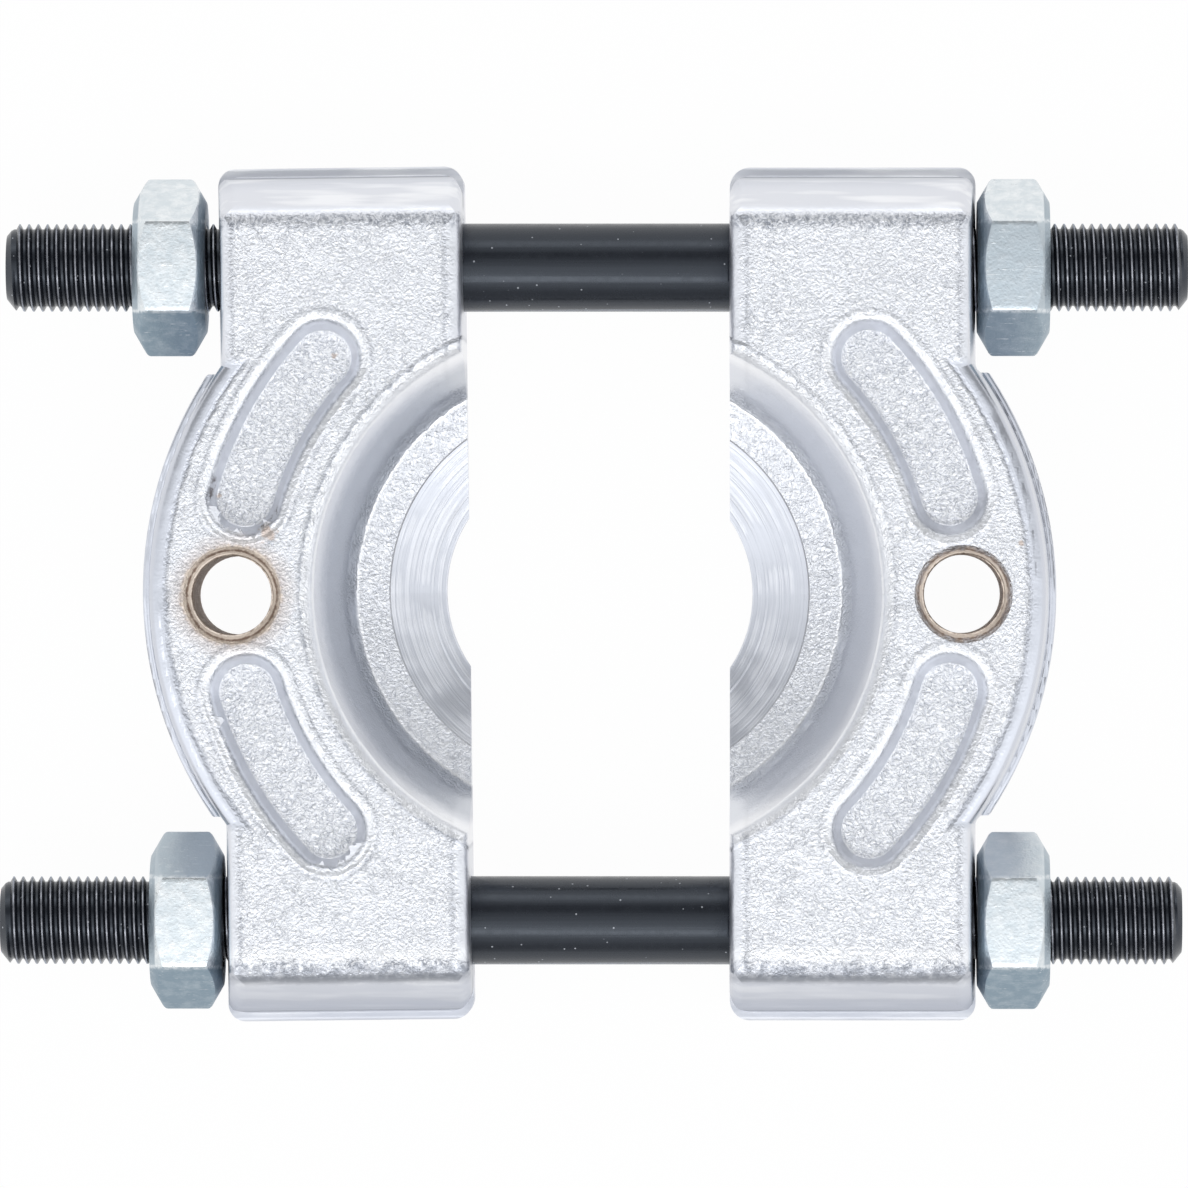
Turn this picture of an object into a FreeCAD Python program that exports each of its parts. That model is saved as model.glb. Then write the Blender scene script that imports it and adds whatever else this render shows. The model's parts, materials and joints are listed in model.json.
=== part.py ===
import FreeCAD, Part
import math
import os

from FreeCAD import Vector

# A bearing separator: two forged jaws slide on two long studs, and a nut on each of the four threaded
# ends pulls them together. X runs along the studs, Y from stud to stud, and Z up from the flat backs.
# A jaw is drawn in its own frame: x outwards from its clamping face, y along that face, z up.

# Studs, in millimetres and degrees like all that follows
STUD_LENGTH = 160.0
STUD_STAGGER = 0.4
SHANK_DIAMETER = 12.0
THREAD_DIAMETER = 11.9
THREAD_LENGTH = 50.0
STUD_CHAMFER_LENGTH = 1.3
STUD_TIP_DIAMETER = 8.7

# Nuts
NUT_ACROSS_FLATS = 21.0
NUT_HEIGHT = 9.8
NUT_CHAMFER_ANGLE = 30.0
NUT_FACE_DIAMETER = 17.7
NUT_THREAD_CLEARANCE = 0.05
NUT_MOUTH_DEPTH = 0.6
NUT_SEAT_GAP = 0.1
LOOSE_NUT_GAP = 1.3

# A jaw: its long lug, and the arc that stands out from it, both on a flat back plate
JAW_THICKNESS = 26.0
JAW_LENGTH = 116.0
LUG_WIDTH = 33.4
ARC_RADIUS = 54.2
ARC_REACH = 44.4
ARC_HALF_SPAN = 30.1
PLATE_THICKNESS = 8.0
PLATE_STEP = 0.9
END_LIP = 1.3
END_SLOPE_ANGLE = 50.0
END_SLOPE_RUN = 4.7
DRAFT_ANGLE = 3.0

# Roundings of a jaw
INNER_CORNER_RADIUS = 2.8
OUTER_CORNER_RADIUS = 2.4
BODY_CORNER_RADIUS = 3.6
NOTCH_RADIUS = 0.9
SHOULDER_RADIUS = 0.7
BACK_ROUND = 0.5
PLATE_ROUND = 0.5
FOOT_ROUND = 0.3
TOP_ROUND = 1.5
CLAMPING_EDGE_ROUND = 1.9
SLOPE_TOP_ROUND = 4.0
SLOPE_FOOT_ROUND = 5.0
SLOPE_SIDE_ROUND = 2.6

# Recess for the bearing: a knife edge, a bevel, a ring and a wall, on one axis beyond the clamping face
RECESS_AXIS_OFFSET = 14.9
KNIFE_RADIUS = 18.0
KNIFE_THICKNESS = 2.0
BEVEL_RADIUS = 25.7
BEVEL_TOP = 5.0
RING_RADIUS = 31.2
RING_TOP = 6.5
RING_ROUND = 3.2
WALL_RADIUS = 35.8
WALL_ROUND = 2.2

# Two kidney-shaped pockets and a tapped hole, on one circle round the recess axis
POCKET_CIRCLE_RADIUS = 46.4
POCKET_START_ANGLE = 16.3
POCKET_END_ANGLE = 43.3
POCKET_HALF_WIDTH = 5.0
POCKET_FLOOR_HALF_WIDTH = 3.6
POCKET_DEPTH = 2.8
POCKET_FOOT_ROUND = 0.8
POCKET_RIM_ROUND = 1.8
TAPPED_HOLE_DIAMETER = 10.65
TAPPED_MOUTH_DEPTH = 1.3

# The jaws on the studs, with the left jaw turned by the play of its bores
STUD_END_DISTANCE = 13.75
STUD_CLEARANCE = 0.2
STUD_BORE_CHAMFER = 0.6
RIGHT_FACE_DISTANCE = 18.4
LEFT_FACE_DISTANCE = 17.1
LEFT_JAW_SKEW = 0.72

# Worked out from the values above
STUD_Y = JAW_LENGTH / 2 - STUD_END_DISTANCE
STUD_Z = JAW_THICKNESS / 2
NUT_CORNER_RADIUS = NUT_ACROSS_FLATS / 2 / math.cos(math.pi / 6)
SKEW = math.radians(LEFT_JAW_SKEW)
SKEW_PLAY = LUG_WIDTH / 2 * abs(math.tan(SKEW))
STUD_BORE_RADIUS = SHANK_DIAMETER / 2 + STUD_CLEARANCE + SKEW_PLAY
DRAFT = math.tan(math.radians(DRAFT_ANGLE))
ARC_CENTRE = Vector(ARC_REACH - ARC_RADIUS, 0, 0)
RECESS_CENTRE = Vector(-RECESS_AXIS_OFFSET, 0, 0)
CUT_MARGIN = 2.0
SAME_POINT = 1e-6
ALONG_X = Vector(1, 0, 0)
ALONG_Y = Vector(0, 1, 0)
ALONG_Z = Vector(0, 0, 1)


def round_corner(before, corner, after, radius, room):
    """The start, middle and end of the arc that rounds a corner, kept within the room beside it."""
    back = (before - corner).normalize()
    ahead = (after - corner).normalize()
    half_angle = back.getAngle(ahead) / 2
    reach = min(radius / math.tan(half_angle), room)
    fitted = reach * math.tan(half_angle)
    inward = (back + ahead).normalize()
    middle = corner + inward * (fitted / math.sin(half_angle) - fitted)
    return corner + back * reach, middle, corner + ahead * reach


def outline_face(corners):
    """A flat face in a closed outline of (point, radius) corners. A corner of radius 0 is sharp."""
    stops = []
    for i, (corner, radius) in enumerate(corners):
        before, before_radius = corners[i - 1]
        after, after_radius = corners[(i + 1) % len(corners)]
        if not radius:
            stops.append((corner,))
            continue
        room_back = corner.distanceToPoint(before) / (2 if before_radius else 1)
        room_ahead = corner.distanceToPoint(after) / (2 if after_radius else 1)
        stops.append(round_corner(before, corner, after, radius, min(room_back, room_ahead)))
    edges = []
    for stop, following in zip(stops, stops[1:] + stops[:1]):
        if len(stop) > 1:
            edges.append(Part.Arc(*stop).toShape())
        if stop[-1].distanceToPoint(following[0]) > SAME_POINT:
            edges.append(Part.makeLine(stop[-1], following[0]))
    return Part.Face(Part.Wire(edges))


def mirrored_in_y(half):
    """An outline's (point, radius) corners, followed by their mirror images in reverse order."""
    return half + [(Vector(p.x, -p.y, p.z), radius) for p, radius in reversed(half)]


def turned(corners, centre=Vector(), start=0.0, sweep=360.0):
    """A solid turned about an upright axis from (distance from the axis, height, radius) corners."""
    outline = [(Vector(distance, 0, height), radius) for distance, height, radius in corners]
    solid = outline_face(outline).revolve(Vector(), ALONG_Z, sweep)
    solid.rotate(Vector(), ALONG_Z, start)
    solid.translate(centre)
    return solid


def round_the_recess(radius, angle):
    """The point at a radius and angle round the recess axis."""
    turn = math.radians(angle)
    return RECESS_CENTRE + Vector(radius * math.cos(turn), radius * math.sin(turn), 0)


def through_hole(radius, length, mouth_depth):
    """What a hole takes away: a bore from height 0 to its length, with a 45 degree mouth at each end."""
    mouth = radius + mouth_depth + CUT_MARGIN
    return turned([
        (0, -CUT_MARGIN, 0),
        (mouth, -CUT_MARGIN, 0),
        (radius, mouth_depth, 0),
        (radius, length - mouth_depth, 0),
        (mouth, length + CUT_MARGIN, 0),
        (0, length + CUT_MARGIN, 0),
    ])


def laid_along_x(shape, start, y):
    """A shape turned from Z to X, starting at x = start on the stud axis at this y."""
    shape.rotate(Vector(), ALONG_Y, 90)
    shape.translate(Vector(start, y, STUD_Z))
    return shape


def stud_shape():
    """A smooth shank with a thread at each end, drawn as the cylinder over its crests."""
    tip = STUD_TIP_DIAMETER / 2
    thread = THREAD_DIAMETER / 2
    shank = SHANK_DIAMETER / 2
    half = [
        (tip, 0, 0),
        (thread, STUD_CHAMFER_LENGTH, 0),
        (thread, THREAD_LENGTH, 0),
        (shank, THREAD_LENGTH, 0),
    ]
    other_half = [(radius, STUD_LENGTH - height, 0) for radius, height, _ in reversed(half)]
    return turned([(0, 0, 0)] + half + other_half + [(0, STUD_LENGTH, 0)])


def nut_shape():
    """A hexagon nut with a chamfer on both faces, its flats square to x."""
    corners = []
    for i in range(6):
        turn = math.radians(60 * i + 30)
        corners.append((Vector(math.cos(turn), math.sin(turn), 0) * NUT_CORNER_RADIUS, 0))
    hexagon = outline_face(corners).extrude(ALONG_Z * NUT_HEIGHT)
    face = NUT_FACE_DIAMETER / 2
    rim = NUT_CORNER_RADIUS + CUT_MARGIN
    fall = (rim - face) * math.tan(math.radians(NUT_CHAMFER_ANGLE))
    chamfers = turned([
        (0, 0, 0),
        (face, 0, 0),
        (rim, fall, 0),
        (rim, NUT_HEIGHT - fall, 0),
        (face, NUT_HEIGHT, 0),
        (0, NUT_HEIGHT, 0),
    ])
    bore_radius = THREAD_DIAMETER / 2 + NUT_THREAD_CLEARANCE
    return hexagon.common(chamfers).cut(through_hole(bore_radius, NUT_HEIGHT, NUT_MOUTH_DEPTH))


def drafted_face(height):
    """How far the lug's outer face lies from its clamping face at a height above the back plate."""
    return LUG_WIDTH - (height - PLATE_THICKNESS) * DRAFT


def slope_foot():
    """The foot of the sloping shoulder at the lug's end, above the lip and in by the draft."""
    height = JAW_THICKNESS - END_SLOPE_RUN * math.tan(math.radians(END_SLOPE_ANGLE))
    return Vector(0, JAW_LENGTH / 2 - END_LIP - (height - PLATE_THICKNESS) * DRAFT, height)


def lug_end_section():
    """The lug from its end: a lip at the back plate, a drafted end and a sloping shoulder."""
    half_length = JAW_LENGTH / 2
    foot = slope_foot()
    return mirrored_in_y([
        (Vector(0, half_length, 0), BACK_ROUND),
        (Vector(0, half_length, PLATE_THICKNESS), PLATE_ROUND),
        (Vector(0, half_length - END_LIP, PLATE_THICKNESS), FOOT_ROUND),
        (foot, SLOPE_FOOT_ROUND),
        (Vector(0, foot.y - END_SLOPE_RUN, JAW_THICKNESS), SLOPE_TOP_ROUND),
    ])


def lug_cross_section():
    """The lug across its length: a flat clamping face, and a drafted outer face above the back plate."""
    return [
        (Vector(0, 0, 0), BACK_ROUND),
        (Vector(LUG_WIDTH, 0, 0), BACK_ROUND),
        (Vector(LUG_WIDTH, 0, PLATE_THICKNESS), 0),
        (Vector(drafted_face(JAW_THICKNESS), 0, JAW_THICKNESS), TOP_ROUND),
        (Vector(0, 0, JAW_THICKNESS), CLAMPING_EDGE_ROUND),
    ]


def rounded_plan(half_length, inner_radius, outer_radius):
    """The lug's outline from above, with one corner radius at its clamping face and one beyond it."""
    return outline_face(mirrored_in_y([
        (Vector(0, half_length, 0), inner_radius),
        (Vector(LUG_WIDTH, half_length, 0), outer_radius),
    ]))


def under_the_slope():
    """A bar that lies along one sloping shoulder and reaches under it, with the shoulder's rounded sides."""
    angle = math.radians(END_SLOPE_ANGLE)
    fall = Vector(0, math.cos(angle), -math.sin(angle))
    inward = Vector(0, -math.sin(angle), -math.cos(angle))
    inner = slope_foot() - fall * JAW_LENGTH
    outer = inner + ALONG_X * drafted_face(slope_foot().z)
    drafted = inward * JAW_LENGTH + ALONG_X * (JAW_LENGTH * DRAFT / math.cos(angle))
    bar = outline_face([
        (inner, CLAMPING_EDGE_ROUND),
        (outer, SLOPE_SIDE_ROUND),
        (outer + drafted, 0),
        (inner + inward * JAW_LENGTH, 0),
    ])
    return bar.extrude(fall * (2 * JAW_LENGTH))


def lug_shape():
    """The block that the studs pass through, shaped by its end section, cross-section and plans."""
    half_length = JAW_LENGTH / 2
    plate = rounded_plan(half_length, INNER_CORNER_RADIUS, OUTER_CORNER_RADIUS)
    body = rounded_plan(half_length - END_LIP + FOOT_ROUND, BODY_CORNER_RADIUS, BODY_CORNER_RADIUS)
    body = body.extrude(ALONG_Z * JAW_THICKNESS)
    bar = under_the_slope()
    body = body.common(bar).common(bar.mirror(Vector(), ALONG_Y))
    block = body.fuse(plate.extrude(ALONG_Z * PLATE_THICKNESS))
    end_prism = outline_face(lug_end_section()).extrude(ALONG_X * LUG_WIDTH)
    cross_prism = outline_face(lug_cross_section()).extrude(ALONG_Y * JAW_LENGTH)
    cross_prism.translate(ALONG_Y * -half_length)
    return block.common(end_prism).common(cross_prism)


def arc_shape():
    """The turned rim beyond the lug: the back plate's arc, and the body stepped in on top of it."""
    body_radius = ARC_RADIUS - PLATE_STEP
    top_radius = body_radius - (JAW_THICKNESS - PLATE_THICKNESS) * DRAFT
    disc = turned([
        (0, 0, 0),
        (ARC_RADIUS, 0, BACK_ROUND),
        (ARC_RADIUS, PLATE_THICKNESS, PLATE_ROUND),
        (body_radius, PLATE_THICKNESS, FOOT_ROUND),
        (top_radius, JAW_THICKNESS, TOP_ROUND),
        (0, JAW_THICKNESS, 0),
    ], ARC_CENTRE)
    return disc.common(arc_limits())


def arc_limits():
    """The strip of the disc that is kept, with a rounded notch and shoulder where it meets the lug."""
    run = math.sqrt(ARC_RADIUS ** 2 - ARC_HALF_SPAN ** 2)
    shoulder = Vector(ARC_CENTRE.x + run, ARC_HALF_SPAN, 0)
    along_rim = Vector(ARC_HALF_SPAN, -run, 0) / ARC_RADIUS
    past_rim = shoulder + along_rim * (ARC_HALF_SPAN / 2)
    behind_notch = ARC_HALF_SPAN + 2 * NOTCH_RADIUS
    strip = mirrored_in_y([
        (Vector(LUG_WIDTH / 2, behind_notch, 0), 0),
        (Vector(LUG_WIDTH, behind_notch, 0), 0),
        (Vector(LUG_WIDTH, ARC_HALF_SPAN, 0), NOTCH_RADIUS),
        (shoulder, SHOULDER_RADIUS),
        (past_rim, 0),
        (Vector(ARC_REACH + CUT_MARGIN, past_rim.y, 0), 0),
    ])
    return outline_face(strip).extrude(ALONG_Z * JAW_THICKNESS)


def recess_cut():
    """What the recess takes away, from the knife edge out to the rounded top of its wall."""
    wall_angle = math.atan2(JAW_THICKNESS - RING_TOP, WALL_RADIUS - RING_RADIUS)
    flare_radius = WALL_RADIUS + WALL_ROUND * math.tan(wall_angle / 2)
    return turned([
        (0, -CUT_MARGIN, 0),
        (KNIFE_RADIUS, -CUT_MARGIN, 0),
        (KNIFE_RADIUS, KNIFE_THICKNESS, 0),
        (BEVEL_RADIUS, BEVEL_TOP, 0),
        (RING_RADIUS, RING_TOP, RING_ROUND),
        (WALL_RADIUS, JAW_THICKNESS, WALL_ROUND),
        (flare_radius, JAW_THICKNESS, 0),
        (flare_radius, JAW_THICKNESS + CUT_MARGIN, 0),
        (0, JAW_THICKNESS + CUT_MARGIN, 0),
    ], RECESS_CENTRE)


def pocket_cut():
    """What one pocket takes away: a curved slot with sloping walls, closed by a round end at each end."""
    floor_z = JAW_THICKNESS - POCKET_DEPTH
    wall_angle = math.atan2(POCKET_DEPTH, POCKET_HALF_WIDTH - POCKET_FLOOR_HALF_WIDTH)
    flare = POCKET_HALF_WIDTH + POCKET_RIM_ROUND * math.tan(wall_angle / 2)
    side = [
        (POCKET_FLOOR_HALF_WIDTH, floor_z, POCKET_FOOT_ROUND),
        (POCKET_HALF_WIDTH, JAW_THICKNESS, POCKET_RIM_ROUND),
        (flare, JAW_THICKNESS, 0),
        (flare, JAW_THICKNESS + CUT_MARGIN, 0),
    ]
    outer = [(POCKET_CIRCLE_RADIUS + offset, height, radius) for offset, height, radius in side]
    inner = [(POCKET_CIRCLE_RADIUS - offset, height, radius) for offset, height, radius in reversed(side)]
    sweep = POCKET_END_ANGLE - POCKET_START_ANGLE
    cut = turned(outer + inner, RECESS_CENTRE, POCKET_START_ANGLE, sweep)
    round_end = [(0, floor_z, 0)] + side + [(0, JAW_THICKNESS + CUT_MARGIN, 0)]
    for angle, first in ((POCKET_START_ANGLE, POCKET_START_ANGLE + 180), (POCKET_END_ANGLE, POCKET_END_ANGLE)):
        cut = cut.fuse(turned(round_end, round_the_recess(POCKET_CIRCLE_RADIUS, angle), first, 180))
    return cut.removeSplitter()


def jaw_shape():
    """One forged jaw, with its recess, pockets, tapped hole and two stud bores."""
    jaw = lug_shape().fuse(arc_shape()).removeSplitter()
    jaw = jaw.cut(recess_cut())
    pocket = pocket_cut()
    jaw = jaw.cut(pocket).cut(pocket.mirror(Vector(), ALONG_Y))
    tapped = through_hole(TAPPED_HOLE_DIAMETER / 2, JAW_THICKNESS, TAPPED_MOUTH_DEPTH)
    tapped.translate(round_the_recess(POCKET_CIRCLE_RADIUS, 0))
    jaw = jaw.cut(tapped)
    for y in (-STUD_Y, STUD_Y):
        bore = through_hole(STUD_BORE_RADIUS, LUG_WIDTH, STUD_BORE_CHAMFER)
        jaw = jaw.cut(laid_along_x(bore, 0, y))
    return jaw.removeSplitter()


def right_jaw():
    """The right jaw, square to the studs."""
    jaw = jaw_shape()
    jaw.translate(ALONG_X * RIGHT_FACE_DISTANCE)
    return jaw


def left_jaw():
    """The left jaw: the same forging turned to face the other, and skewed about its middle."""
    jaw = jaw_shape()
    jaw.translate(ALONG_X * (-LUG_WIDTH / 2))
    jaw.rotate(Vector(), ALONG_Z, 180 + LEFT_JAW_SKEW)
    jaw.translate(ALONG_X * (-LEFT_FACE_DISTANCE - LUG_WIDTH / 2))
    return jaw


def stud(y, shift):
    """A stud on the axis at this y, moved a little along it."""
    return laid_along_x(stud_shape(), shift - STUD_LENGTH / 2, y)


def right_nut(y):
    """A nut against the right jaw's outer face."""
    return laid_along_x(nut_shape(), RIGHT_FACE_DISTANCE + LUG_WIDTH + NUT_SEAT_GAP, y)


def left_nut(y, gap):
    """A nut clear by this gap of the left jaw's outer face, which the skew brings nearer on one side."""
    nearest = y * math.tan(SKEW) + NUT_CORNER_RADIUS * abs(math.tan(SKEW))
    face_distance = LEFT_FACE_DISTANCE + LUG_WIDTH / 2 + LUG_WIDTH / 2 / math.cos(SKEW) + nearest
    return laid_along_x(nut_shape(), -face_distance - gap - NUT_HEIGHT, y)


SUB_PARTS = {
    "jaw_left": left_jaw(),
    "jaw_right": right_jaw(),
    "stud_upper": stud(STUD_Y, STUD_STAGGER),
    "stud_lower": stud(-STUD_Y, -STUD_STAGGER),
    "nut_left_upper": left_nut(STUD_Y, LOOSE_NUT_GAP),
    "nut_left_lower": left_nut(-STUD_Y, NUT_SEAT_GAP),
    "nut_right_upper": right_nut(STUD_Y),
    "nut_right_lower": right_nut(-STUD_Y),
}

os.makedirs("parts", exist_ok=True)
for node, solid in SUB_PARTS.items():
    solid.exportStep(f"parts/{node}.step")
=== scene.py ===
# %% [markdown]
# # A bearing separator
# Two forged steel jaws slide on two long studs, and a nut on each threaded end draws them together.
# The eight solids of the drawing are loaded first. They are the frame: nothing here moves them, and
# each piece made below rides on one of their bodies, so it follows when the jaws open or close.

# %% Load the solids
import json
import math
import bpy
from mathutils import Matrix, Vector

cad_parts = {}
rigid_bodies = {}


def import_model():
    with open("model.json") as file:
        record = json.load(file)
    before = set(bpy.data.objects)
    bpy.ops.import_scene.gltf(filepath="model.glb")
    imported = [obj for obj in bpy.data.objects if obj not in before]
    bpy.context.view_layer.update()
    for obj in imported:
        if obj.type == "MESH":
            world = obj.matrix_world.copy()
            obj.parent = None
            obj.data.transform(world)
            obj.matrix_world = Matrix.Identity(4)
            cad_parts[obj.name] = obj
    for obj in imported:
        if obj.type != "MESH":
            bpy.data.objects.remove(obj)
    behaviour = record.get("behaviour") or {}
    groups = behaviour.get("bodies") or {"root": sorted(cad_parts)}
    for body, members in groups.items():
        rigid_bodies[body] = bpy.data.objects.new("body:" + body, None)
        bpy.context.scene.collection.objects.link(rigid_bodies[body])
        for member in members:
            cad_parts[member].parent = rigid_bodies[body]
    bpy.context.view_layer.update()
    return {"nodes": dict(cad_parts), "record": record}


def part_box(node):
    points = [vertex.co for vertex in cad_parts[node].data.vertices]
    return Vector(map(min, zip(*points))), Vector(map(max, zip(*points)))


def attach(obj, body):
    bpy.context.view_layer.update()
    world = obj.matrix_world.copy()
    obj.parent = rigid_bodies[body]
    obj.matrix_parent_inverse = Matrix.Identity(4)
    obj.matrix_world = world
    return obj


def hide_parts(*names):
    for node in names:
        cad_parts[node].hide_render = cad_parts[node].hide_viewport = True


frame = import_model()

from types import SimpleNamespace

import bmesh
import bpy
from mathutils import Matrix, Vector, noise

print("Solids:", ", ".join(sorted(frame["nodes"])))

# %% [markdown]
# ## Sizes
# Blender counts in metres and a workshop in millimetres, so every size is a number times MM. What the
# solids already know, such as where a stud's axis or a tapped hole lies, is read from them, so that the
# finish stays on its piece when the drawing changes.

# %% Sizes
MM = 0.001
TURN = 2 * math.pi

JAW_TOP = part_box("jaw_right")[1].z
STUD_LOW, STUD_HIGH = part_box("stud_upper")
STUD_Y = (STUD_LOW.y + STUD_HIGH.y) / 2
STUD_Z = (STUD_LOW.z + STUD_HIGH.z) / 2
HOLES = {m["name"]: Vector(m["pos_m"]) for m in frame["record"]["mounts"] if m["kind"] == "threaded_hole"}
HOLE_CIRCLE_RADIUS = 46.4 * MM
LEFT_JAW_SKEW = math.radians(0.72)
print(f"Stud axes at y = {STUD_Y / MM:.2f} and {-STUD_Y / MM:.2f} mm, z = {STUD_Z / MM:.2f} mm")

# %% [markdown]
# ## Camera
# The photograph looks straight down from more than a metre and a half away, so there is almost no
# perspective. A little of the clamping face of the left jaw shows and none of the right one's, so the lens
# hangs over a point right of the middle. The focal length follows from the width of the picture at the
# height of the studs.

# %% Camera
PICTURE_WIDTH = 1188 / 7.375 * MM
CAMERA_OFFSET = 23.3 * MM
CAMERA_DISTANCE = 1650 * MM

camera_data = bpy.data.cameras.new("photo_camera")
camera_data.sensor_width = 36
camera_data.lens = 36 * CAMERA_DISTANCE / PICTURE_WIDTH
camera_data.clip_start = 0.1
camera = bpy.data.objects.new("photo_camera", camera_data)
camera.location = (CAMERA_OFFSET, 0, STUD_Z + CAMERA_DISTANCE)
camera.rotation_euler = (0, math.atan2(CAMERA_OFFSET, CAMERA_DISTANCE), 0)
bpy.context.scene.collection.objects.link(camera)
bpy.context.scene.camera = camera
print(f"Lens {camera_data.lens:.0f} mm over a picture {PICTURE_WIDTH / MM:.1f} mm wide")

# %% [markdown]
# ## Nodes and colours
# A material is a small network of nodes. One function adds a node, sets it up and links its inputs, so a
# network reads from top to bottom like a recipe. Colours are given as hex values as a screen shows them,
# which are sRGB, and Blender mixes light in linear values, so one function turns the first into the second.


# %% Helpers for materials
def add(tree, kind, inputs=None, **settings):
    """Adds a shader node with its settings, and gives each input a value, a node or a socket."""
    node = tree.nodes.new("ShaderNode" + kind)
    for name, value in settings.items():
        setattr(node, name, value)
    for name, value in (inputs or {}).items():
        if isinstance(value, bpy.types.Node):
            value = value.outputs[0]
        if isinstance(value, bpy.types.NodeSocket):
            tree.links.new(value, node.inputs[name])
        else:
            node.inputs[name].default_value = value
    return node


def linear(hex_colour):
    """A linear colour with alpha from an sRGB hex value such as c8ccd4."""
    channels = [int(hex_colour[i:i + 2], 16) / 255 for i in (0, 2, 4)]
    return [c / 12.92 if c <= 0.04045 else ((c + 0.055) / 1.055) ** 2.4 for c in channels] + [1]


def new_material(name):
    """An empty material: its node tree, its Principled shader and its object coordinates."""
    material = bpy.data.materials.new(name)
    material.use_nodes = True
    tree = material.node_tree
    tree.nodes.clear()
    shader = add(tree, "BsdfPrincipled")
    add(tree, "OutputMaterial", {"Surface": shader})
    place = add(tree, "TexCoord").outputs["Object"]
    return material, tree, shader, place


def finish_node(node, material):
    """Gives a solid of the drawing its material in every slot."""
    for slot in frame["nodes"][node].material_slots:
        slot.material = material


# %% [markdown]
# ## Jaw plating
# A jaw is drop-forged steel, shot-blasted and then plated, so it is bright but grainy: the plating
# follows each crease of the skin below it. The grain could be modelled, but half a millimetre of
# roughness over the whole jaw would need millions of faces, so it is a bump in the material. It is strong
# on the flats, the pocket floors, the ring and the foot of the wall, and worn smooth on the lug ends, along
# the clamping edge and on the rims. Masks say which is which: numbers between 0 and 1 that are worked out
# from where a point lies on the jaw.

# %% Masks
def band(tree, value, start, full, low=0.0, high=1.0):
    """A mask that goes from low to high while a value goes from start to full."""
    return add(tree, "MapRange", {0: value, 1: start, 2: full, 3: low, 4: high})


def combine(tree, operation, *values):
    """One number from several, by one operation after another."""
    total = values[0]
    for value in values[1:]:
        total = add(tree, "Math", {0: total, 1: value}, operation=operation)
    return total


def overlap(tree, *masks):
    """The mask of what lies in all of these masks."""
    return combine(tree, "MULTIPLY", *masks)


def either(tree, *masks):
    """The mask of what lies in any of these masks."""
    return combine(tree, "MAXIMUM", *masks)


def soft_line(tree, value, place, *stops):
    """A mask along a line, with four stops in millimetres from its place: start, full, fade and end."""
    start, full, fade, end = [place + stop * MM for stop in stops]
    return overlap(tree, band(tree, value, start, full), band(tree, value, fade, end, 1, 0))


def blend(tree, share, first, second):
    """A mix of two colours, each a hex value or a socket."""
    ends = [linear(c) if isinstance(c, str) else c for c in (first, second)]
    return add(tree, "Mix", {0: share, 6: ends[0], 7: ends[1]}, data_type="RGBA").outputs[2]


# %% [markdown]
# ## Places on a jaw
# The recipe measures every point from the jaw's own recess axis and clamping face, so it fits both jaws:
# how high it lies, how far along the jaw and out from the axis, and how far from a hole, a pocket or the
# line of the arc. A real edge isn't drawn with a compass, so one noise shifts each distance a little, and
# all the soft lines and patches below wander together.

# %% Places on a jaw
FACE_TO_AXIS = 14.9 * MM
LUG_WIDTH = 33.4 * MM
ARC_CENTRE = Vector((5.1 * MM, 0, 0))
POCKET_START = math.radians(16.3)
POCKET_END = math.radians(43.3)
RAGGED_SIZE = 1.1 * MM
PATCH_SIZE = 4 * MM
STREAK_LENGTH = 14 * MM
STREAK_WIDTH = 1.8 * MM

# What differs between the two jaws: the painted shade of the wall, how strong the lines of painted shade
# along the rims are, how far the rust and its halo reach, and oil stains and painted shadows under torn
# flash as (x, y, radius), in millimetres from the middle of the picture
JAW_FINISH = {
    "jaw_left_plating": {
        "wall": "c6cad2", "lines": 0.85, "rust": 6.7 * MM, "halo": 2.4 * MM,
        "stains": [(-50.4, 13.2, 0.4), (-34.8, 32.1, 0.45), (-43.6, 8.2, 1.2)],
        "shadows": [(-44.0, 10.6, 2.2), (-52.0, 14.4, 2.0)],
    },
    "jaw_right_plating": {
        "wall": "dde0e7", "lines": 0.4, "rust": 6.0 * MM, "halo": 0.5 * MM,
        "stains": [(57.6, 6.9, 0.35)], "shadows": [],
    },
}


def distance(tree, place, point):
    """How far a place is from a fixed point."""
    return add(tree, "VectorMath", {0: place, 1: point}, operation="DISTANCE").outputs["Value"]


def roughened(tree, jaw, value, amount):
    """A distance that the jaw's noise shifts by up to half of an amount, given in millimetres."""
    return add(tree, "Math", {0: jaw.wobble, 1: amount * MM, 2: value}, operation="MULTIPLY_ADD")


def pocket_distance(tree, jaw):
    """The distance from the line along the middle of a pocket, which is an arc with two round ends."""
    angle = add(tree, "Math", {0: jaw.along, 1: jaw.out}, operation="ARCTAN2")
    beside = add(tree, "Math", {0: jaw.radius, 1: HOLE_CIRCLE_RADIUS}, operation="SUBTRACT")
    beside = add(tree, "Math", {0: beside}, operation="ABSOLUTE")
    ends = [Vector((math.cos(a), math.sin(a), 0)) * HOLE_CIRCLE_RADIUS for a in (POCKET_START, POCKET_END)]
    ends = [distance(tree, jaw.spot, end) for end in ends]
    on_sweep = add(tree, "Math", {0: angle, 1: (POCKET_START + POCKET_END) / 2,
                                  2: (POCKET_END - POCKET_START) / 2}, operation="COMPARE")
    return add(tree, "Mix", {0: on_sweep, 2: combine(tree, "MINIMUM", *ends), 3: beside})


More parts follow.
